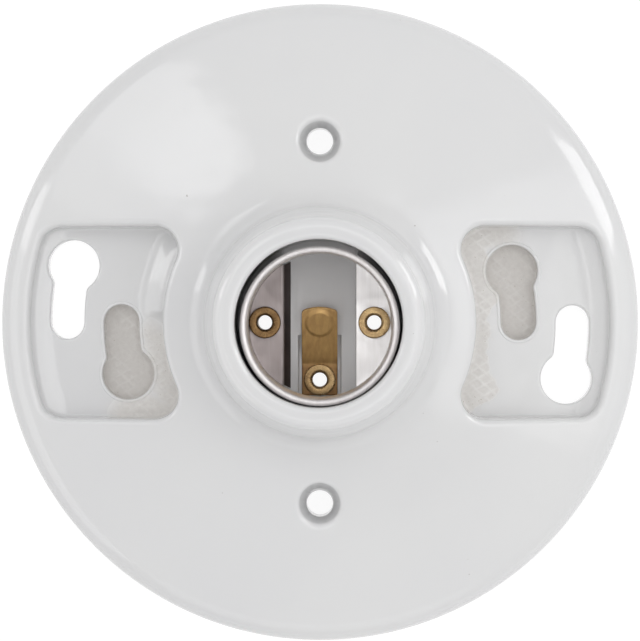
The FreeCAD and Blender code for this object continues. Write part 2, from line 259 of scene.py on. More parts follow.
def polar_seeds(low, high, step):
    """Seeds on rings round the axis, at an even spacing."""
    seeds = []
    for row, r in enumerate(np.arange(low, high, step)):
        count = max(6, round(2 * math.pi * r / step))
        seeds += circle((0, 0), r, count, 0.5 * (row % 2))
    return seeds


def grid_seeds(box, step):
    x0, y0, x1, y1 = box
    seeds = []
    for row, y in enumerate(np.arange(y0, y1, step * 0.866)):
        seeds.extend((x, y) for x in np.arange(x0 + step / 2 * (row % 2), x1, step))
    return seeds


# %% Mesh objects
def new_object(name, points, faces):
    mesh = bpy.data.meshes.new(name)
    mesh.from_pydata([tuple(c * MM for c in p) for p in points], [], [tuple(f) for f in faces])
    obj = bpy.data.objects.new(name, mesh)
    bpy.context.collection.objects.link(obj)
    return obj


def tidy_mesh(obj, sharp_deg=40):
    """Merges doubles, turns the faces outwards and keeps edges sharper than an angle crisp.
    A boolean leaves empty material slots behind, so the piece goes back to one."""
    for material in [m for m in obj.data.materials if m][:1]:
        dress(obj, material)
    obj.data.polygons.foreach_set("material_index", [0] * len(obj.data.polygons))
    work = bmesh.new()
    work.from_mesh(obj.data)
    bmesh.ops.remove_doubles(work, verts=work.verts, dist=1e-7)
    bmesh.ops.dissolve_degenerate(work, edges=work.edges, dist=1e-7)
    bmesh.ops.recalc_face_normals(work, faces=work.faces)
    open_edges = sum(1 for e in work.edges if len(e.link_faces) != 2)
    if work.calc_volume(signed=True) < 0:
        bmesh.ops.reverse_faces(work, faces=work.faces)
    work.to_mesh(obj.data)
    work.free()
    obj.data.polygons.foreach_set("use_smooth", [True] * len(obj.data.polygons))
    obj.data.set_sharp_from_angle(angle=math.radians(sharp_deg))
    print(obj.name, "faces", len(obj.data.polygons), "open edges", open_edges)


def settle(obj):
    """Turns the evaluated object into a plain mesh and drops its modifiers."""
    depsgraph = bpy.context.evaluated_depsgraph_get()
    mesh = bpy.data.meshes.new_from_object(obj.evaluated_get(depsgraph), depsgraph=depsgraph)
    obj.modifiers.clear()
    obj.data = mesh
    return obj


def cut(obj, tool, operation="DIFFERENCE"):
    """Takes the tool's space out of the object, or keeps only what lies in it."""
    boolean = obj.modifiers.new("cut", "BOOLEAN")
    boolean.operation, boolean.solver, boolean.object = operation, "EXACT", tool
    settle(obj)
    bpy.data.objects.remove(tool)
    return obj


def dress(obj, material):
    obj.data.materials.clear()
    obj.data.materials.append(material)


def prism(points):
    """Closed cutter whose two ends are the two halves of the points."""
    count = len(points) // 2
    faces = [tuple(range(count))[::-1], tuple(range(count, 2 * count))]
    faces += [(k, (k + 1) % count, count + (k + 1) % count, count + k) for k in range(count)]
    made = new_object("cutter", points, faces)
    work = bmesh.new()
    work.from_mesh(made.data)
    bmesh.ops.recalc_face_normals(work, faces=work.faces)
    work.to_mesh(made.data)
    work.free()
    return made


def rod(centre, radius, low, high, sides=40):
    return prism([(x, y, z) for z in (low, high) for x, y in circle(centre, radius, sides)])


def bar(section, low_y, high_y):
    return prism([(x, y, z) for y in (low_y, high_y) for x, z in section])


# %% [markdown]
# ## Heights of the porcelain
# The front of the disc is a shallow dome. The unglazed patches of the pocket floors and the sunk
# keyholes keep the crossed ridges of the mould, so those floors get a fine relief in the mesh.

# %% Heights
slope = (root_z - rim_z) / (disc_r - root_r)


def dome_z(r):
    share = (disc_r - r) / (disc_r - root_r)
    return rim_z + (disc_r - r) * slope + 4 * dome_bulge * share * (1 - share)


def dome_at(x, y):
    return dome_z(math.hypot(x, y))


def smooth(value, low, high):
    t = min(max((value - low) / (high - low), 0.0), 1.0)
    return t * t * (3 - 2 * t)


ridge_pitch, ridge_height = 1.6, 0.12


def ridges(x, y):
    """Height of the two families of thin ridges that cross on the unglazed floors."""
    top = 0.0
    for lean in (-42, 30):
        along = math.radians(lean)
        across = (-x * math.sin(along) + y * math.cos(along)) / ridge_pitch
        top = max(top, 1 - abs((across + 0.5) % 1.0 - 0.5) * ridge_pitch / 0.32)
    uneven = 0.6 + 0.4 * math.sin(0.9 * x + 0.5 * y + 0.4 * math.sin(y))
    return ridge_height * max(top, 0.0) * uneven


def wavy(x, y):
    """A slow uneven line for the edge of the glaze, about one millimetre either way."""
    return 0.5 * math.sin(1.1 * x + 0.6 * y) + 0.35 * math.sin(0.7 * x - 1.7 * y + 1.0)


def bare_at(x, y):
    """How much of the glaze is missing on a pocket floor, from 0 to 1."""
    from_wall = math.hypot(x, y) - pocket_in + 0.5 * wavy(y, 0) + 0.25 * wavy(3 * y, 0)
    if x > 0:
        reach = 2.4 + 3.6 * math.exp(-((y + 12.0) / 3.6) ** 2) + 2.2 * smooth(y, 0, 6)
        along = 1 - smooth(from_wall, reach - 0.5, reach + 0.3)
        end = smooth(y + 0.5 * wavy(x, 0), 12.6, 14.2) * (1 - smooth(x + wavy(y, 0), 31.5, 36.5))
        return max(along, end)
    along = (1 - smooth(from_wall, 2.4, 5.2)) * (1 - smooth(y + 0.9 * wavy(x, 0), -3.0, 2.0))
    end = 1 - smooth(y + 0.6 * wavy(x, 0), -14.6, -11.8)
    return max(along, end * smooth(x + 0.8 * wavy(y, 0), -38.5, -34.0))


def swell(x, y):
    """Rise of a pocket's floor, towards the outer wall and where glaze has pooled at the inner one."""
    r = math.hypot(x, y)
    rise = 0.8 * smooth(r, 47.4, 50.7)
    if x < 0:
        rise += 2.2 * (1 - smooth(r - pocket_in, 0.0, 4.2)) * smooth(y + 0.6 * wavy(x, y), -0.5, 3.0)
    return rise


def pocket_floor_at(x, y):
    return pocket_z + swell(x, y) + bare_at(x, y) * ridges(x, y)


# %% [markdown]
# ## Outlines of the pockets and keyholes
# Each pocket lies between two arcs round the axis. A keyhole is an eye that a screw's head passes,
# and a slot that runs along the arc, so that the holder is hooked over two screws and turned.


# %% Outlines
def pocket_outline(step=0.5):
    """Right-hand pocket at floor height."""
    half, corner = pocket_half, pocket_corner
    mid_y = half - corner
    near = (math.sqrt((pocket_in + corner) ** 2 - mid_y ** 2), mid_y)
    far = (math.sqrt((pocket_out - corner) ** 2 - mid_y ** 2), mid_y)
    near_deg, far_deg = bearing((0, 0), near), bearing((0, 0), far)
    return (
        arc_run((0, 0), pocket_in, near_deg, -near_deg, -1, step)
        + arc_run((near[0], -mid_y), corner, 180 - near_deg, 270, 1, step)
        + line_run((near[0], -half), (far[0], -half), (0, -1), step)
        + arc_run((far[0], -mid_y), corner, -90, -far_deg, 1, step)
        + arc_run((0, 0), pocket_out, -far_deg, far_deg, 1, step)
        + arc_run(far, corner, far_deg, 90, 1, step)
        + line_run((far[0], half), (near[0], half), (0, 1), step)
        + arc_run(near, corner, 90, 180 + near_deg, 1, step)
    )


def keyhole_outline(arc_r, eye_r, half, turn_deg, step=0.4, neck=1.5):
    """Keyhole whose slot ends on +X and whose eye lies turn_deg round the arc from there."""
    eye = (arc_r * math.cos(math.radians(turn_deg)), arc_r * math.sin(math.radians(turn_deg)))

    def neck_centre(radius):
        share = (radius ** 2 + arc_r ** 2 - (eye_r + neck) ** 2) / (2 * radius * arc_r)
        angle = math.radians(turn_deg) - math.acos(share)
        return (radius * math.cos(angle), radius * math.sin(angle)), math.degrees(angle)

    outer, outer_deg = neck_centre(arc_r + half + neck)
    inner, inner_deg = neck_centre(arc_r - half - neck)
    eye_from, eye_to = bearing(eye, outer), bearing(eye, inner)
    eye_to += 360 if eye_to < eye_from else 0
    outer_to = outer_deg + (bearing(outer, eye) - outer_deg) % 360
    inner_to = inner_deg + (bearing(inner, eye) - inner_deg + 180) % 360 - 180
    return (
        arc_run((arc_r, 0), half, 180, 360, 1, step)
        + arc_run((0, 0), arc_r + half, 0, outer_deg, 1, step)
        + arc_run(outer, neck, outer_deg + 180, outer_to, -1, step)
        + arc_run(eye, eye_r, eye_from, eye_to, 1, step)
        + arc_run(inner, neck, inner_to, inner_deg, -1, step)
        + arc_run((0, 0), arc_r - half, inner_deg, 0, -1, step)
    )


# %% [markdown]
# ## The porcelain body
# It is one piece, so it is one closed mesh: the turned rim, the dome, the collar and bore, two
# pockets with their keyholes, two funnel-shaped screw holes and the hollow of the back.

# %% Front of the disc, collar and bore
skin = Skin()
side = rounded([(disc_r - 2, 0), (disc_r, 0), (disc_r, rim_z), (disc_r - 6, dome_z(disc_r - 6))],
               [foot_round, rim_round], 10)[1:-1]
side[-1] = Vector((side[-1][0], dome_z(side[-1][0])))
side_rings = skin.turned(side)

collar = rounded(
    [(root_r + 6, dome_z(root_r + 6)), (root_r, root_z), (collar_r, mouth_z), (bore_r, mouth_z),
     (bore_r, ledge_z)],
    [root_round, collar_round, bore_round], 10)[1:]
collar[0] = Vector((collar[0][0], dome_z(collar[0][0])))
collar_rings = skin.turned(collar)
skin.patch(collar_rings[-1], [], polar_seeds(2, bore_r, 3), lambda x, y: ledge_z, 0.5)


# %% Pocket walls, floors and keyholes
def brim(sample, low, slant):
    """Where a wall that leans out from a low height meets the dome, and a place past it."""
    lean = 0.0
    for _ in range(4):
        lean = (dome_at(*off(sample, lean)) - low) * slant
    return [(reach, dome_at(*off(sample, reach))) for reach in (lean, lean + 1.3)]


def glazed_z(sample, reach):
    return pocket_z + swell(*off(sample, reach))


def pocket_profile(sample):
    """Floor, rounded foot, wall and rounded brim, ending on the dome. The outer wall leans most."""
    outer = smooth(sample[2] * math.copysign(1, sample[0]), 0.1, 0.9)
    foot, slant = 0.7 + 0.5 * outer, math.tan(math.radians(1.5 + 2.5 * outer))
    low = [(-foot, glazed_z(sample, -foot)), (0, glazed_z(sample, 0))]
    return rounded(low + brim(sample, pocket_z, slant), [foot * 0.9, 1.0], 7)


def through_profile(sample):
    edge = [(reach, glazed_z(sample, reach)) for reach in (0.5, 0)]
    return rounded(edge + [(0, 0), (0.6, 0)], [0.45, 0.5], 6)


def blind_profile(sample):
    """A thick lip of glaze stands round the edge of each sunk keyhole."""
    edge = glazed_z(sample, 0.6)
    lip = edge + 0.13
    return rounded([(0.6, edge), (0.45, lip), (0, lip), (0, sunk_z), (-0.5, sunk_z)],
                   [0.1, 0.3, 0.35], 4)


def sunk_floor_at(x, y):
    return sunk_z + 0.8 * ridges(x, y)


fine_step, plain_step = 0.26, 1.3
dome_holes, back_holes = [], []
for half_turn in (False, True):
    pocket = skin.walls(turned_about(pocket_outline(), half_turn), pocket_profile, dome_at)
    outer = turned_about(keyhole_outline(44.45, 4.5, 2.95, 12.9), half_turn, flip=True)
    inner = turned_about(keyhole_outline(34.925, 4.575, 3.125, 15.0), half_turn)
    through = skin.walls(outer, through_profile)
    blind = skin.walls(inner, blind_profile)
    box = (-52, -18, -24, 18) if half_turn else (24, -18, 52, 18)
    fine = [s for s in grid_seeds(box, fine_step) if bare_at(*s) > 0.01]
    plain = [s for s in grid_seeds(box, plain_step) if bare_at(*s) <= 0.01]
    skin.patch(pocket[0], [through[0], blind[0]], fine + plain, pocket_floor_at, 0.16)
    skin.patch(blind[-1], [], grid_seeds(box, fine_step), sunk_floor_at, 0.16)
    dome_holes.append(pocket[-1])
    back_holes.append(through[-1])


# %% Plain screw holes
def funnel_profile(sample):
    """From the back up a straight bore and a funnel, and out on to the dome."""
    top = dome_z(hole_y)
    bore = hole_r - hole_mouth_r
    mouth = brim(sample, top, -bore / hole_depth)
    return rounded([(bore + 1.6, 0), (bore, 0), (bore, top - hole_depth)] + mouth, [0.5, 1.0, 0.9], 5)


boss_feet = []
for y_side in (-hole_y, hole_y):
    mouth = arc_run((0, y_side), hole_mouth_r, 0, 360, 1, 0.35)
    funnel = skin.walls(mouth, funnel_profile, dome_at)
    dome_holes.append(funnel[-1])
    boss_feet.append(funnel[0])

dome_low, dome_high = side[-1][0], collar[0][0]
skin.patch(side_rings[-1], [collar_rings[0]] + dome_holes,
           polar_seeds(dome_high + 0.8, dome_low - 0.4, 1.1), dome_at, 0.5)

# %% [markdown]
# ### The hollow of the back
# It holds the wiring. It is the same kind of skin: an outline that runs round the rim and the two
# pocket blocks, a ceiling that follows the dome, a lower ceiling under the socket, and two bosses
# round the plain screw holes.

# %% Hollow of the back
wall, recess_r, well_r, dome_wall = 3.5, 50.5, 24.0, 4.6
boss_r, inner_round = 6.5, 1.2


def recess_outline(step=0.5):
    """Quarter of the line in the first quadrant, mirrored to the other three."""
    half, corner, fillet = pocket_half + wall, pocket_corner + wall, 2.0
    near = (math.sqrt((well_r + corner) ** 2 - (half - corner) ** 2), half - corner)
    near_deg = bearing((0, 0), near)
    far_y = half + fillet
    far = (math.sqrt((recess_r - fillet) ** 2 - far_y ** 2), far_y)
    far_deg = bearing((0, 0), far)
    quarter = (
        arc_run((0, 0), well_r, 0, near_deg, 1, step)
        + arc_run(near, corner, near_deg + 180, 90, -1, step)
        + line_run((near[0], half), (far[0], half), (0, -1), step)
        + arc_run(far, fillet, -90, far_deg, 1, step)
        + arc_run((0, 0), recess_r, far_deg, 90, 1, step)
    )
    back = [(0, recess_r, 0, 1)] + quarter[:0:-1]
    whole = []
    for sx, sy, run in ((1, 1, quarter), (-1, 1, back), (-1, -1, quarter), (1, -1, back)):
        whole += [(sx * x, sy * y, sx * nx, sy * ny) for x, y, nx, ny in run]
    return whole


def ceiling_at(x, y):
    r = math.hypot(x, y)
    high = dome_z(max(r, well_r)) - dome_wall - 0.15
    return underside_z + (high - underside_z) * smooth(r, well_r - 0.9, well_r + 0.9)


def recess_profile(sample):
    inner = inner_round * 1.05
    top, beyond = (ceiling_at(*off(sample, -reach)) for reach in (0.2, inner))
    return rounded([(0.8, 0), (0, 0), (-0.2, top), (-0.2 - inner, beyond)], [0.6, inner_round * 0.9], 5)


def boss_profile(sample):
    top, beyond = (ceiling_at(*off(sample, reach)) for reach in (0.2, 1.5))
    return rounded([(-0.8, 0), (0, 0), (0.2, top), (1.5, beyond)], [0.6, 1.0], 5)


recess = skin.walls(recess_outline(), recess_profile, ceiling_at)
bosses = []
for y_side, foot in zip((-hole_y, hole_y), boss_feet):
    boss = skin.walls(arc_run((0, y_side), boss_r, 0, 360, 1, 0.5), boss_profile, ceiling_at)
    bosses.append(boss[-1])
    skin.patch(boss[0], [foot], [], lambda x, y: 0.0, 0.5)
skin.patch(recess[-1], bosses, polar_seeds(1.0, well_r - 1.2, 2.4)
           + polar_seeds(well_r - 0.9, well_r + 1.1, 0.3) + polar_seeds(well_r + 1.8, recess_r, 1.6),
           ceiling_at, 0.14)
skin.patch(side_rings[0], [recess[0]] + back_holes, [], lambda x, y: 0.0, 0.5)
porcelain = new_object("porcelain", skin.points, skin.faces)
tidy_mesh(porcelain)

# %% [markdown]
# ### Channel, rivet holes and screw wells
# These are plain cuts, so booleans do them well. The cutters have the soft corners of a press.

# %% Cuts in the socket floor
channel_half, channel_z, seat_half, seat_z = 6.4, 13.2, 3.7, 12.2


def groove(half, low, high, low_y, high_y, foot=0.35, lip=0.25):
    """Cutter for a groove with rounded feet and a flared lip, which stops at the bore."""
    right = rounded([(0, low), (half, low), (half, high), (half + lip * 2, high)], [foot, lip], 4)
    right.append((half + lip * 2, high + 0.2))
    left = [(-x, z) for x, z in reversed(right)]
    plug = rod((0, 0), bore_r - 0.05, 5, 30, turns)
    return cut(bar(right[1:] + left[:-1], low_y, high_y), plug, "INTERSECT")


cut(porcelain, groove(channel_half, channel_z, ledge_z, -20, 20))
cut(porcelain, groove(seat_half, seat_z, channel_z, -20, -2.2))
eyelets_at = {"shell_eyelet_left": (-9.5, 0), "shell_eyelet_right": (9.5, 0),
              "contact_eyelet": (0, -10)}
screws_at = {"hot": (-11, -14), "neutral": (11, 14)}
for at in eyelets_at.values():
    cut(porcelain, rod(at, 1.8, 0, 20))
for at in screws_at.values():
    cut(porcelain, rod(at, 2.6, 0, underside_z + 6.2))
tidy_mesh(porcelain)

# %% Where the glaze is missing
shares = {"bare": [], "ridge": []}
for v in porcelain.data.vertices:
    x, y, z = (c / MM for c in v.co)
    r = math.hypot(x, y)
    share, ridge = 0.0, 0.0
    if pocket_z - 0.02 < z < pocket_z + 1.2 and r > pocket_in - 0.5 and abs(y) < 17.5:
        share = bare_at(x, y)
        ridge = share * ridges(x, y) / ridge_height * (0.7 if x > 0 else 0.3)
    elif sunk_z - 0.1 < z < sunk_z + 0.4 and 29 < r < 41 and abs(y) < 15:
        share, ridge = 0.9, 0.25 * ridges(x, y) / ridge_height
    elif z < 0.25:
        share = 1.0
    shares["bare"].append(share)
    shares["ridge"].append(ridge)
for name, values in shares.items():
    porcelain.data.attributes.new(name, "FLOAT", "POINT").data.foreach_set("value", values)

# %% [markdown]
# ## Turned pieces with Geometry Nodes
# The shell, the hollow rivets and the screws are all profiles turned about an axis. One node tree
# makes them: it lays a grid, reads the profile's points down the rows and turns them along the
# columns. A thread is a rule too. Each cross-section of a rolled thread is a circle that is
# shifted to one side, and the side goes round once for every pitch.


# %% Nodes of any tree
def give(tree, node, inputs):
    """Sets a node's inputs, each to a value or to a link from another node's output."""
    for key, value in inputs.items():
        if isinstance(value, bpy.types.NodeSocket):
            tree.links.new(value, node.inputs[key])
        elif value is not None:
            node.inputs[key].default_value = value


def put(tree, kind, inputs=None, out=0, **settings):
    """One output of a new node."""
    node = tree.nodes.new(kind)
    for key, value in settings.items():
        setattr(node, key, value)
    give(tree, node, inputs or {})
    return node.outputs[out]


# %% Node tree that turns a profile
def turned_tree():
    tree = bpy.data.node_groups.new("turned_profile", "GeometryNodeTree")
    for name, kind in (
        ("Profile", "Geometry"), ("Steps", "Int"), ("Centre", "Vector"), ("Finish", "Material"),
        ("Pitch", "Float"), ("Shift", "Float"), ("Start", "Float"), ("End", "Float"), ("Fade", "Float"),
    ):
        tree.interface.new_socket(name, in_out="INPUT", socket_type="NodeSocket" + kind)
    tree.interface.new_socket("Piece", in_out="OUTPUT", socket_type="NodeSocketGeometry")
    given = tree.nodes.new("NodeGroupInput").outputs

    def maths(operation, a, b=None):
        return put(tree, "ShaderNodeMath", {0: a, 1: b}, operation=operation)

    def fade(low, high):
        return put(tree, "ShaderNodeMapRange", {"Value": z, "From Min": low, "From Max": high},
                   interpolation_type="SMOOTHSTEP")

    profile = {"Geometry": given["Profile"]}
    count = put(tree, "GeometryNodeAttributeDomainSize", profile, component="MESH")
    grid = put(tree, "GeometryNodeMeshGrid",
               {"Vertices X": maths("ADD", given["Steps"], 1), "Vertices Y": count})
    index = put(tree, "GeometryNodeInputIndex")
    column = maths("FLOOR", maths("DIVIDE", maths("ADD", index, 0.5), count))
    point = put(tree, "GeometryNodeSampleIndex",
                {"Value": put(tree, "GeometryNodeInputPosition"), "Index": maths("MODULO", index, count),
                 **profile}, data_type="FLOAT_VECTOR", domain="POINT")
    r, z = (put(tree, "ShaderNodeSeparateXYZ", {0: point}, axis) for axis in "XZ")
    angle = maths("DIVIDE", maths("MULTIPLY", column, 2 * math.pi), given["Steps"])
    run_in = fade(given["Start"], maths("ADD", given["Start"], given["Fade"]))
    run_out = fade(given["End"], maths("SUBTRACT", given["End"], given["Fade"]))
    shift = maths("MULTIPLY", given["Shift"], maths("MULTIPLY", run_in, run_out))
    turn = maths("DIVIDE", maths("MULTIPLY", z, 2 * math.pi), given["Pitch"])
    x, y = (maths("ADD", maths("MULTIPLY", r, maths(wave, angle)),
                  maths("MULTIPLY", shift, maths(wave, turn))) for wave in ("COSINE", "SINE"))
    place = put(tree, "ShaderNodeCombineXYZ", {"X": x, "Y": y, "Z": z})
    moved = put(tree, "ShaderNodeVectorMath", {0: place, 1: given["Centre"]}, operation="ADD")
    piece = put(tree, "GeometryNodeSetPosition", {"Geometry": grid, "Position": moved})
    piece = put(tree, "GeometryNodeMergeByDistance", {"Geometry": piece, "Distance": 2e-6})
    piece = put(tree, "GeometryNodeRealizeInstances", {"Geometry": piece})
    piece = put(tree, "GeometryNodeSetMaterial", {"Geometry": piece, "Material": given["Finish"]})
    give(tree, tree.nodes.new("NodeGroupOutput"), {"Piece": piece})
    return tree


turning = turned_tree()
socket_of = {item.name: item.identifier for item in turning.interface.items_tree
             if item.in_out == "INPUT"}


def turned_piece(name, profile, steps, material, centre, thread=None):
    """A profile of (radius, height) in millimetres, turned by the node tree."""
    obj = new_object(name, [(r, 0, z) for r, z in profile], [])
    obj.data.materials.append(material)
    pitch, shift, start, end, fade = thread or (1, 0, 0, 1, 0.1)
    tool = obj.modifiers.new("turn", "NODES")
    tool.node_group = turning
    for key, value in (
        ("Steps", steps), ("Centre", (centre[0] * MM, centre[1] * MM, 0.0)), ("Finish", material),
        ("Pitch", pitch * MM), ("Shift", shift * MM), ("Start", start * MM), ("End", end * MM),
        ("Fade", fade * MM),
    ):
        tool[socket_of[key]] = value
    settle(obj)
    tidy_mesh(obj)
    return obj


# %% [markdown]
# ## Finishes
# Glaze is glossy over a faintly uneven body, rolled aluminium is dull and streaked, and old brass
# is clouded. Painted shade darkens the sunk keyholes, the left of the shell's floor, its lip and its
# turned-down edges, and the left eyelet. Each material builds that from noise and spans on Object
# coordinates, so that it stays on the piece when the piece moves.


# %% Material helpers
class Finish:
    """One material, with short calls for the nodes that the finishes share."""

    def __init__(self, name):
        self.material = bpy.data.materials.new(name)
        self.material.use_nodes = True
        self.tree = self.material.node_tree
        self.place = self.node("ShaderNodeTexCoord", out="Object")

    def node(self, *given, **settings):
        return put(self.tree, *given, **settings)

    def noise(self, scale, detail, rough=0.5, stretch=None):
        place = self.place
        if stretch:
            place = self.node("ShaderNodeMapping", {"Vector": place, "Scale": stretch})
        return self.node("ShaderNodeTexNoise", {"Vector": place, "Scale": scale, "Detail": detail,
                                                "Roughness": rough})

    def ramp(self, value, low, low_colour, high, high_colour):
        """Maps a value to colours between two stops, or to greys where a colour is one number."""
        node = self.tree.nodes.new("ShaderNodeValToRGB")
        stops = ((low, low_colour), (high, high_colour))
        for stop, (at, colour) in zip(node.color_ramp.elements, stops):
            stop.position = at
            stop.color = (colour, colour, colour, 1) if isinstance(colour, float) else colour
        give(self.tree, node, {"Fac": value})
        return node.outputs["Color"]

    def mix(self, factor, a, b, blend="MIX"):
        return self.node("ShaderNodeMix", {0: factor, 6: a, 7: b}, 2, data_type="RGBA", blend_type=blend)

    def dim(self, colour, *screen):
        return self.mix(1.0, colour, srgb(*screen), "MULTIPLY")

    def attribute(self, name):
        return self.node("ShaderNodeAttribute", out="Fac", attribute_name=name)

    def bump(self, height, strength, distance, onto=None):
        return self.node("ShaderNodeBump", {"Strength": strength, "Distance": distance, "Height": height,
                                            "Normal": onto})

    def span(self, axis, low, high):
        """Goes from 0 to 1 between two places in millimetres along one axis."""
        along = self.node("ShaderNodeSeparateXYZ", {0: self.place}, axis)
        return self.node("ShaderNodeMapRange", {"Value": along, "From Min": low * MM,
                                                "From Max": high * MM})

    def feed(self, colour, roughness, **others):
        """Sets the shader's inputs, each to a value or a link."""
        inputs = {"Base Color": colour, "Roughness": roughness, **others}
        give(self.tree, self.tree.nodes["Principled BSDF"], inputs)


def srgb(*screen):
    """Linear colour from the 0 to 255 values of a screen colour, all above 10."""
    return (*(((c / 255 + 0.055) / 1.055) ** 2.4 for c in screen), 1)


# %% Glazed porcelain
glaze = Finish("glazed_porcelain")
tone = glaze.ramp(glaze.noise(35, 4), 0.3, srgb(222, 222, 223), 0.7, srgb(225, 225, 225))
speck = glaze.ramp(glaze.noise(1100, 1), 0.832, 0.0, 0.85, 0.6)
clay = glaze.ramp(glaze.noise(1300, 5, 0.7), 0.3, srgb(213, 210, 207), 0.7, srgb(225, 223, 220))
# Painted shade: below the pocket floors the porcelain is darker, mostly the floors of the sunk keyholes
# and the low walls.
clay = glaze.mix(glaze.span("Z", 2.4, 4.4), glaze.dim(clay, 237, 235, 233), clay)
ridge_top = glaze.ramp(glaze.attribute("ridge"), 0.05, 0.0, 0.9, 0.8)
clay = glaze.mix(ridge_top, clay, srgb(238, 237, 235))
pit = glaze.ramp(glaze.noise(2600, 2), 0.70, 0.0, 0.76, 0.7)
clay = glaze.mix(pit, clay, srgb(150, 138, 122))
bare_share = glaze.attribute("bare")
wave = glaze.bump(glaze.noise(160, 1), 0.12, 0.0006)
glaze.feed(glaze.mix(speck, glaze.mix(bare_share, tone, clay), srgb(120, 108, 96)),
           glaze.ramp(bare_share, 0.0, 0.085, 0.9, 0.7), IOR=1.52,
           Normal=glaze.bump(glaze.noise(2400, 4), 0.05, 0.0001, wave))

# %% Rolled aluminium
alu = Finish("rolled_aluminium")
streak = alu.noise(300, 4, 0.6, (6.0, 0.35, 1.0))
sheen = alu.ramp(streak, 0.3, srgb(240, 238, 237), 0.7, srgb(251, 249, 249))
# Painted shade: the shell's floor is darker on its left side.
painted_left_shade = alu.mix(alu.span("X", -6.5, 5), alu.dim(sheen, 166, 158, 157), sheen)
on_lip = alu.span("Z", 37.5, 38.5)
# Painted shade: the rolled lip is a little darker.
sheen = alu.mix(on_lip, sheen, alu.dim(sheen, 236, 234, 234))
# The painted shade of the left side is kept to the floor, below the skirt.
sheen = alu.mix(alu.span("Z", 16, 18), painted_left_shade, sheen)
grain = alu.noise(500, 3)
# Painted shade: below the floor, the edges turned down into the channel are much darker.
alu.feed(alu.mix(alu.span("Z", 15.1, 15.28), alu.dim(sheen, 140, 133, 130), sheen),
         alu.mix(on_lip, alu.ramp(grain, 0.3, 0.4, 0.7, 0.52), alu.ramp(grain, 0.3, 0.56, 0.7, 0.66)),
         Normal=alu.bump(streak, 0.1, 0.0001), Metallic=1.0)


# %% Brass, nickel
def metal(name, dark, light, scale, rough, stretch=None, bright=1.0, darker_side=None):
    """Clouded metal. The last argument is an axis and two places between which a darker colour fades
    out.
    """
    made = Finish(name)
    colour = made.ramp(made.noise(scale, 5, 0.6, stretch), 0.32, dark, 0.68, light)
    # A darker colour along one side: painted shade on the eyelets, a darker foot on the contact.
    if darker_side:
        colour = made.mix(made.span(*darker_side), made.dim(colour, 172, 160, 150), colour)
    made.feed(colour, made.ramp(made.noise(scale * 3, 3), 0.3, rough, 0.7, rough + 0.16),
              Normal=made.bump(made.noise(scale * 6, 3), 0.06, 0.0001), Metallic=bright)
    return made.material


# The span along Y makes the contact darker towards its foot.
contact_brass = metal("contact_brass", srgb(178, 140, 88), srgb(206, 168, 108), 350, 0.3,
                      (3, 1, 1), 0.55, ("Y", -8, -6))
# Painted shade: the span along X makes the left eyelet darker, and the middle one partly.
eyelet_brass = metal("eyelet_brass", srgb(150, 122, 88), srgb(206, 178, 130), 500, 0.22,
                     None, 0.9, ("X", -6, 7))
terminal_brass = metal("terminal_brass", srgb(176, 142, 84), srgb(206, 172, 108), 300, 0.3)
nickel = metal("terminal_nickel", srgb(168, 166, 162), srgb(200, 198, 194), 300, 0.26)
dress(porcelain, glaze.material)
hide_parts("porcelain_body")
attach(porcelain, "holder")

# %% [markdown]
# ## Screw shell
# The shell is rolled from thin aluminium. Its profile runs up the outside, round the rolled lip
# and down the inside to the floor. The node tree shifts the rows between the skirt and the lip, so
# that both sides of the sheet carry the same thread. The slot for the contact is cut afterwards.

# %% Screw shell
sheet, mean_r, shell_top, bead = 0.3, (26.4 + 24.7) / 4, 39.6, 0.52
shell_at = (0.15, -0.44)
thread_low, thread_high = 17.3, 38.2
thread_pitch, thread_shift = 3.63, 0.425
outer_r = mean_r + sheet
bead_z = shell_top - bead
rows = np.arange(thread_low, thread_high, 0.26)
bead_r = 13.52 - bead
lip = [(bead_r + bead * math.cos(math.radians(a)), bead_z + bead * math.sin(math.radians(a)))
       for a in range(-60, 226, 15)]
floor_fall = 0.02


def floor_at(r):
    """Underside of the shell's floor, which falls a little towards its edge."""
    return ledge_z + floor_fall * (outer_r - 0.8 - r)


shell_profile = (
    [(r, floor_at(r)) for r in (0, 3, 6, 9)]
    + rounded([(10, floor_at(10)), (outer_r, floor_at(outer_r - 0.8)), (outer_r, thread_low)],
              [1.0], 5)[1:-1]
    + [(outer_r, z) for z in rows] + [(outer_r, thread_high)] + lip
    + [(mean_r, z) for z in rows[::-1]]
    + rounded([(mean_r, thread_low - 0.3), (mean_r, ledge_z + sheet), (10, floor_at(10) + sheet)],
              [0.7], 5)
    + [(r, floor_at(r) + sheet) for r in (9, 6, 3, 0)]
)
shell = turned_piece("shell", shell_profile, 160, alu.material, shell_at,
                     (thread_pitch, thread_shift, thread_low, thread_high, 1.6))


def block(half, low, high, half_y):
    return bar([(-half, low), (half, low), (half, high), (-half, high)], -half_y, half_y)


cut(shell, block(channel_half, ledge_z - 1, ledge_z + 2.2, 20))


def turned_down_edge(side, reach):
    """Strip along one side of the slot that bends down into the channel, cut to the bore."""
    high, low = floor_at(channel_half), channel_z + 0.15
    outside = rounded([(6.9, high - 0.04), (6.1, high), (6.3 - reach, low)], [0.5], 6)
    inner = rounded([(6.9, high + sheet - 0.04), (6.1 + sheet * 0.4, high + sheet),
                     (6.3 - reach - sheet, low)], [0.8], 6)
    section = [(side * x, z) for x, z in outside + inner[::-1]]
    return cut(bar(section, -12.2, 12.2), rod(shell_at, mean_r - 0.6, 5, 30, 120), "INTERSECT")


def join(obj, parts):
    """Adds closed parts to an object's mesh."""
    work = bmesh.new()
    work.from_mesh(obj.data)
    for part in parts:
        work.from_mesh(part.data)
        bpy.data.objects.remove(part)
    work.to_mesh(obj.data)
    work.free()


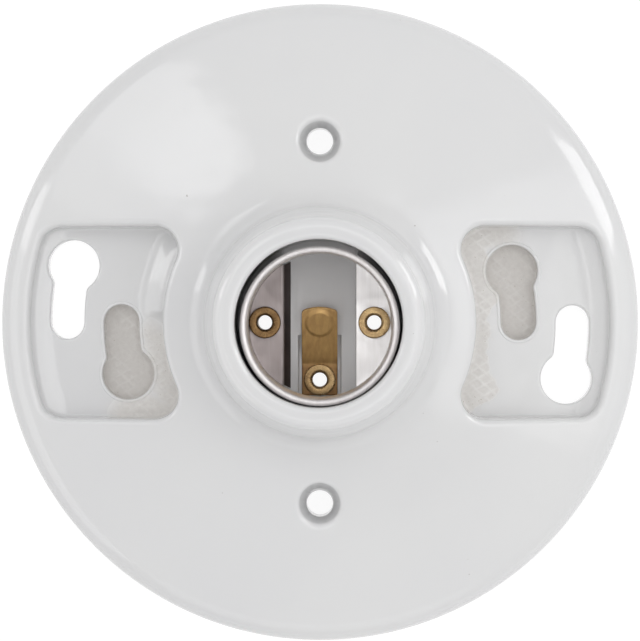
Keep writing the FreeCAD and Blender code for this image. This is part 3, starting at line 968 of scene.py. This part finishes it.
for name in ("shell_eyelet_left", "shell_eyelet_right"):
    cut(shell, rod(eyelets_at[name], 1.65, ledge_z - 1, ledge_z + 1.5))
join(shell, [turned_down_edge(-1, 0.95), turned_down_edge(1, 0.16)])
tidy_mesh(shell)
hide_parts("screw_shell")
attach(shell, "holder")

# %% [markdown]
# ## Hollow eyelets
# Three brass tubes hold the metal parts to the porcelain. Their ends are rolled outwards into
# smooth flanges, so the profile is a thin tube with a half-round at each end.


# %% Hollow eyelets
def eyelet_profile(low, high, hole=1.25, barrel=1.6, flange=2.75, thick=0.5):
    """Closed profile of a tube with rolled flanges that grip from low to high."""
    top = rounded([(hole, high - 1.5), (hole, high + thick), (flange, high + thick), (flange, high),
                   (barrel, high), (barrel, high - 1.5)], [0.55, 0.24, 0.16, 0.02], 6)
    foot = [(r, low + high - z) for r, z in reversed(top)]
    return top + foot + [top[0]]


eyelet_grip = {"shell_eyelet_left": (6.9, 15.5), "shell_eyelet_right": (6.7, 15.5),
               "contact_eyelet": (6.7, 12.7)}
for name, at in eyelets_at.items():
    piece = turned_piece(name + "_rolled", eyelet_profile(*eyelet_grip[name]), 64, eyelet_brass, at)
    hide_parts(name)
    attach(piece, "holder")

# %% [markdown]
# ## Centre contact
# One strip of spring brass is riveted down at its foot and rises to the axis, where a round pad
# meets the tip of the bulb. It is drawn flat, with its hole and pad, and then bent by a rule, as
# the real one is in a press. The rule turns the leaf about its bend while the foot stays flat.

# %% Centre contact
strip_half, strip_t, foot_y = 3.1, 0.5, -12.7
bend_at, bend_deg, bend_r = -7.31, 24.0, 1.0
tip_y, tip_sag, tip_corner = 2.7, 0.7, 0.8
tilt = math.radians(bend_deg)
mid_r = bend_r + strip_t / 2
flat_bend = bend_at - foot_y
bend_len = mid_r * tilt


def flat_at(y):
    """How far along the flat strip a place on the bent leaf lies."""
    return flat_bend + bend_len + (y - bend_at - mid_r * math.sin(tilt)) / math.cos(tilt)


flat_tip, pad_s = flat_at(tip_y), flat_at(0)


def strip_outline(step=0.3):
    """Plan of the flat strip: square foot, straight sides and a slightly bowed tip."""
    bow_r = (strip_half ** 2 + tip_sag ** 2) / (2 * tip_sag)
    bow = (0, flat_tip - bow_r)
    corner_y = bow[1] + math.sqrt((bow_r - tip_corner) ** 2 - (strip_half - tip_corner) ** 2)
    right = (strip_half - tip_corner, corner_y)
    meet = bearing(bow, right)
    return (
        line_run((-strip_half + 0.3, 0), (strip_half - 0.3, 0), (0, -1), step)
        + arc_run((strip_half - 0.3, 0.3), 0.3, -90, 0, 1, 0.1)
        + line_run((strip_half, 0.3), (strip_half, corner_y), (1, 0), step)
        + arc_run(right, tip_corner, 0, meet, 1, 0.15)
        + arc_run(bow, bow_r, meet, 180 - meet, 1, step)
        + arc_run((-right[0], corner_y), tip_corner, 180 - meet, 180, 1, 0.15)
        + line_run((-strip_half, corner_y), (-strip_half, 0.3), (-1, 0), step)
        + arc_run((-strip_half + 0.3, 0.3), 0.3, 180, 270, 1, 0.1)
    )


def bent(x, s, h):
    """Place of a point of the flat strip after the press has bent it."""
    if s <= flat_bend:
        return x, foot_y + s, seat_z + h
    turn = min((s - flat_bend) / mid_r, tilt)
    rest = max(s - flat_bend - bend_len, 0)
    reach = bend_r + strip_t - h
    y = bend_at + reach * math.sin(turn) + rest * math.cos(tilt)
    return x, y, seat_z + strip_t + bend_r - reach * math.cos(turn) + rest * math.sin(tilt)


def pad_lift(x, s):
    """The pad is pressed up from below: a flat round top with a soft shoulder."""
    r = math.hypot(x, s - pad_s)
    return 0.35 * (1 - smooth(r, 2.15, 2.6))


leaf = Skin()
edge = leaf.walls(strip_outline(), lambda s: rounded(
    [(-0.25, strip_t), (0, strip_t), (0, 0), (-0.25, 0)], [0.13, 0.13], 3))
rivet = leaf.walls(arc_run((0, -10 - foot_y), 1.65, 0, 360, 1, 0.3), lambda s: [(0, strip_t), (0, 0)])
leaf_seeds = grid_seeds((-3, 0, 3, flat_tip), 0.3)
leaf.patch(edge[0], [rivet[0]], leaf_seeds, lambda x, s: strip_t + pad_lift(x, s), 0.15)
leaf.patch(edge[-1], [rivet[-1]], leaf_seeds, lambda x, s: pad_lift(x, s) * 0.8, 0.15)
leaf.points = [bent(*p) for p in leaf.points]
contact = new_object("contact_leaf", leaf.points, leaf.faces)
dress(contact, contact_brass)
tidy_mesh(contact)
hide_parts("centre_contact")
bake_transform(contact)

# %% [markdown]
# ## Terminal screws
# The wires are clamped on the back. Each screw has a slotted head and a fine thread. The same node
# tree turns it, and a bar cuts the slot.

# %% Terminal screws
head_low, head_top, shank_r, head_r = 3.6, 5.8, 1.7, 3.9
screw_profile = (
    [(0, head_low), (1.5, head_low)]
    + rounded([(1.6, head_low), (head_r, head_low), (head_r, head_top), (shank_r, head_top)],
              [0.7, 0.15], 5)[1:]
    + [(shank_r - 0.14, z) for z in np.arange(head_top + 0.15, 12.3, 0.1)]
    + [(shank_r * 0.75, 12.8), (0, 12.8)]
)
for side_name, finish, slot_name in (("hot", terminal_brass, "terminal_brass"),
                                     ("neutral", nickel, "terminal_nickel")):
    at = screws_at[side_name]
    screw = turned_piece(side_name + "_screw_threaded", screw_profile, 72, finish, at,
                         (0.794, 0.13, 6.5, 12.6, 0.4))
    slot = block(0.55, 2, head_low + 1.1, 6)
    slot.data.transform(Matrix.Translation((at[0] * MM, at[1] * MM, 0))
                        @ Matrix.Rotation(math.radians(-55), 4, "Z"))
    cut(screw, slot)
    tidy_mesh(screw, 35)
    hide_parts(side_name + "_terminal_screw")
    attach(screw, side_name + "_screw")

# %% [markdown]
# ## Plates and washers
# These flat stampings are right as they come from the construction model. They only get a finish.

# %% Finishes of the carried-over pieces
for node in ("eyelet_washer", "hot_terminal_plate", "hot_clamp_washer"):
    dress(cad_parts[node], terminal_brass)
for node in ("neutral_terminal_plate", "neutral_clamp_washer"):
    dress(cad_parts[node], nickel)

# %% [markdown]
# ## Studio
# The photo was taken in a white tent with one large soft box at the upper left. The floor shows
# itself white to the camera and to reflections, and as a plain pale floor to the light.

# %% Floor and world
corners = [(900 * x, 900 * y, -0.3) for x, y in ((-1, -1), (1, -1), (1, 1), (-1, 1))]
floor = new_object("floor", corners, [(0, 1, 2, 3)])
paper = Finish("paper")
paper.feed(paper.ramp(paper.noise(8, 2), 0.3, 0.90, 0.7, 0.92), 0.9)
rays = paper.tree.nodes.new("ShaderNodeLightPath").outputs
seen = rays["Is Camera Ray"]
for ray in ("Is Glossy Ray", "Is Transmission Ray"):
    seen = paper.node("ShaderNodeMath", {0: seen, 1: rays[ray]}, operation="MAXIMUM")
glow = paper.node("ShaderNodeEmission", {"Strength": 0.93})
faint = paper.node("ShaderNodeBsdfDiffuse", {"Color": (0.13, 0.13, 0.13, 1)})
both = paper.node("ShaderNodeAddShader", {0: glow, 1: faint})
plain = paper.tree.nodes["Principled BSDF"].outputs[0]
choose = paper.node("ShaderNodeMixShader", {0: seen, 1: plain, 2: both})
give(paper.tree, paper.tree.nodes["Material Output"], {"Surface": choose})
dress(floor, paper.material)

bpy.context.scene.world = bpy.data.worlds.new("tent")
bpy.context.scene.world.use_nodes = True
tent = bpy.context.scene.world.node_tree
toward = put(tent, "ShaderNodeTexCoord")


def heading(azimuth, polar):
    """Unit vector towards a place in the sky, with its angle from the zenith."""
    a, p = math.radians(azimuth), math.radians(polar)
    return Vector((math.sin(p) * math.cos(a), math.sin(p) * math.sin(a), math.cos(p)))


def sky_zone(azimuth, polar, radius, soft, low, high):
    """Strength that goes from low outside a round part of the sky to high inside it."""
    near = put(tent, "ShaderNodeVectorMath", {0: toward, 1: heading(azimuth, polar)}, "Value",
               operation="DOT_PRODUCT")
    inputs = {"Value": near, "From Min": math.cos(math.radians(radius + soft)),
              "From Max": math.cos(math.radians(radius - soft)), "To Min": low, "To Max": high}
    return put(tent, "ShaderNodeMapRange", inputs, interpolation_type="SMOOTHSTEP")


overhead = sky_zone(5, 3.0, 22.0, 1.5, 0.70, 2.0)
sky = tent.nodes["Background"]
give(tent, sky, {"Color": (1, 1, 1, 1), "Strength": sky_zone(185, 4.0, 6.0, 2.5, overhead, 0.3)})
to_camera = put(tent, "ShaderNodeLightPath")
white = put(tent, "ShaderNodeBackground", {"Strength": 1.0})
pick = put(tent, "ShaderNodeMixShader", {0: to_camera, 1: sky.outputs[0], 2: white})
give(tent, tent.nodes["World Output"], {"Surface": pick})


# %% Lamps
def area_lamp(name, width, height, radiance):
    lamp = bpy.data.lights.new(name, "AREA")
    lamp.shape, lamp.size, lamp.size_y = "RECTANGLE", width, height
    lamp.energy = radiance * math.pi * width * height
    obj = bpy.data.objects.new(name, lamp)
    bpy.context.collection.objects.link(obj)
    return obj


def soft_box(name, corner, run, width, depth, height, radiance):
    """Level lamp over the object, placed by one corner and the bearing of one side.
    Corner, width and depth are shares of its height, as the glaze mirrors them."""
    obj = area_lamp(name, width * height, depth * height, radiance)
    along = heading(run, 90)
    across = Vector((-along.y, along.x, 0))
    obj.location = (Vector((*corner, 1)) + along * width / 2 + across * depth / 2) * height
    obj.rotation_euler = (0, 0, math.radians(run))


def side_light(name, azimuth, polar, distance, width, height, radiance, shine_only=True):
    """Upright lamp that faces the object from one side. Most are there for their reflection only."""
    obj = area_lamp(name, width, height, radiance)
    away = heading(azimuth, polar)
    obj.location = away * distance
    obj.rotation_mode = "QUATERNION"
    obj.rotation_quaternion = away.to_track_quat("Z", "Y")
    obj.visible_diffuse = not shine_only


soft_box("key_box", (-0.223, 0.505), 133, 0.5, 0.29, 0.80, 1.3)
for k in range(4):
    soft_box(f"key_core_{k}", (-0.225, 0.503), 133, 0.17 - 0.03 * k, 0.28 - 0.015 * k, 0.81 + 0.01 * k,
             0.28)
soft_box("key_fill", (-0.435, 0.313), 133, 0.4, 0.16, 0.79, 0.7)
soft_box("right_glow", (0.70, -0.30), 90, 0.66, 0.36, 0.78, 0.8)
side_light("right_window", 26, 53, 0.8, 0.24, 0.46, 4.5)
side_light("right_soft", 2, 42, 0.84, 0.5, 0.6, 0.35)
side_light("left_wall", 192, 64, 0.9, 1.2, 0.6, 1.1)
side_light("front_wall", 268, 60, 0.9, 0.9, 0.5, 0.5)
side_light("right_wall", 2, 62, 0.9, 0.7, 0.8, 0.45, shine_only=False)
side_light("left_window", 160, 60, 0.8, 0.16, 0.5, 2.2)
